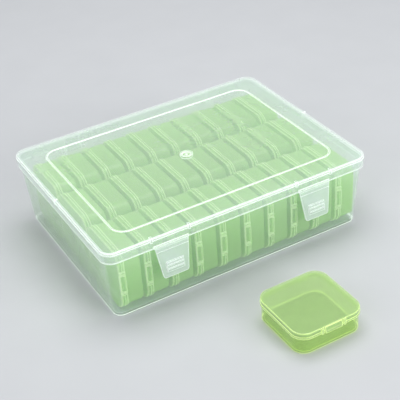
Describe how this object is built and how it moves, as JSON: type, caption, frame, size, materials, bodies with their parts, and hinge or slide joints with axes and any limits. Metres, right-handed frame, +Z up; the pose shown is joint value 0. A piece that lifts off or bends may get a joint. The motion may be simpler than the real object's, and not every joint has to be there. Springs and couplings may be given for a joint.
{
  "type": "bead storage box",
  "caption": "Clear bead storage box with a hinged lid and two front latches, holding rows of small hinged boxes, with one more small box in front of it.",
  "frame": {"origin": "middle of the tray's flat underside, on the table plane", "axes": "+X along the case's long side, to the right as seen from the front; +Y from the front latches to the rear hinge; +Z up"},
  "size_m": [0.2406, 0.293, 0.0661],
  "materials": {
    "frosted_clear": "frosted translucent moulded polypropylene, glossy outside",
    "neon_clear": "clear moulded plastic tinted neon yellow-green, glossy"
  },
  "bodies": {
    "tray_body": {"tray": "frosted_clear", "bead_box_base_r1_c01": "neon_clear", "bead_box_base_r2_c01": "neon_clear", "bead_box_base_r3_c01": "neon_clear", "bead_box_base_r1_c02": "neon_clear", "bead_box_base_r2_c02": "neon_clear", "bead_box_base_r3_c02": "neon_clear", "bead_box_base_r1_c03": "neon_clear", "bead_box_base_r2_c03": "neon_clear", "bead_box_base_r3_c03": "neon_clear", "bead_box_base_r1_c04": "neon_clear", "bead_box_base_r2_c04": "neon_clear", "bead_box_base_r3_c04": "neon_clear", "bead_box_base_r1_c05": "neon_clear", "bead_box_base_r2_c05": "neon_clear", "bead_box_base_r3_c05": "neon_clear", "bead_box_base_r1_c06": "neon_clear", "bead_box_base_r2_c06": "neon_clear", "bead_box_base_r3_c06": "neon_clear", "bead_box_base_r1_c07": "neon_clear", "bead_box_base_r2_c07": "neon_clear", "bead_box_base_r3_c07": "neon_clear", "bead_box_base_r1_c08": "neon_clear", "bead_box_base_r2_c08": "neon_clear", "bead_box_base_r3_c08": "neon_clear", "bead_box_base_r1_c09": "neon_clear", "bead_box_base_r2_c09": "neon_clear", "bead_box_base_r3_c09": "neon_clear", "bead_box_base_r1_c10": "neon_clear", "bead_box_base_r2_c10": "neon_clear", "bead_box_base_r3_c10": "neon_clear", "bead_box_lids_c01": "neon_clear", "bead_box_lids_c02": "neon_clear", "bead_box_lids_c03": "neon_clear", "bead_box_lids_c04": "neon_clear", "bead_box_lids_c05": "neon_clear", "bead_box_lids_c06": "neon_clear", "bead_box_lids_c07": "neon_clear", "bead_box_lids_c08": "neon_clear", "bead_box_lids_c09": "neon_clear", "bead_box_lids_c10": "neon_clear"},
    "lid_body": {"lid": "frosted_clear"},
    "latch_left_body": {"latch_left": "frosted_clear"},
    "latch_right_body": {"latch_right": "frosted_clear"},
    "loose_base_body": {"loose_box_base": "neon_clear"},
    "loose_lid_body": {"loose_box_lid": "neon_clear"}
  },
  "joints": [
    {"name": "lid_hinge", "type": "hinge", "parent": "tray_body", "child": "lid_body", "pos_m": [0, 0.09132, 0.0524], "axis": [-1, 0, 0], "range_deg": [0, 105]},
    {"name": "latch_left_hinge", "type": "hinge", "parent": "lid_body", "child": "latch_left_body", "pos_m": [-0.065, -0.09087, 0.0552], "axis": [-1, 0, 0], "range_deg": [0, 110]},
    {"name": "latch_right_hinge", "type": "hinge", "parent": "lid_body", "child": "latch_right_body", "pos_m": [0.065, -0.09087, 0.0552], "axis": [-1, 0, 0], "range_deg": [0, 110]},
    {"name": "loose_box_lift", "type": "slide", "parent": "tray_body", "child": "loose_base_body", "axis": [0, 0, 1], "range_m": [0, 0.08]},
    {"name": "loose_lid_hinge", "type": "hinge", "parent": "loose_base_body", "child": "loose_lid_body", "pos_m": [0.0051, -0.1391, 0.0142], "axis": [-1, 0, 0], "range_deg": [0, 110]}
  ]
}
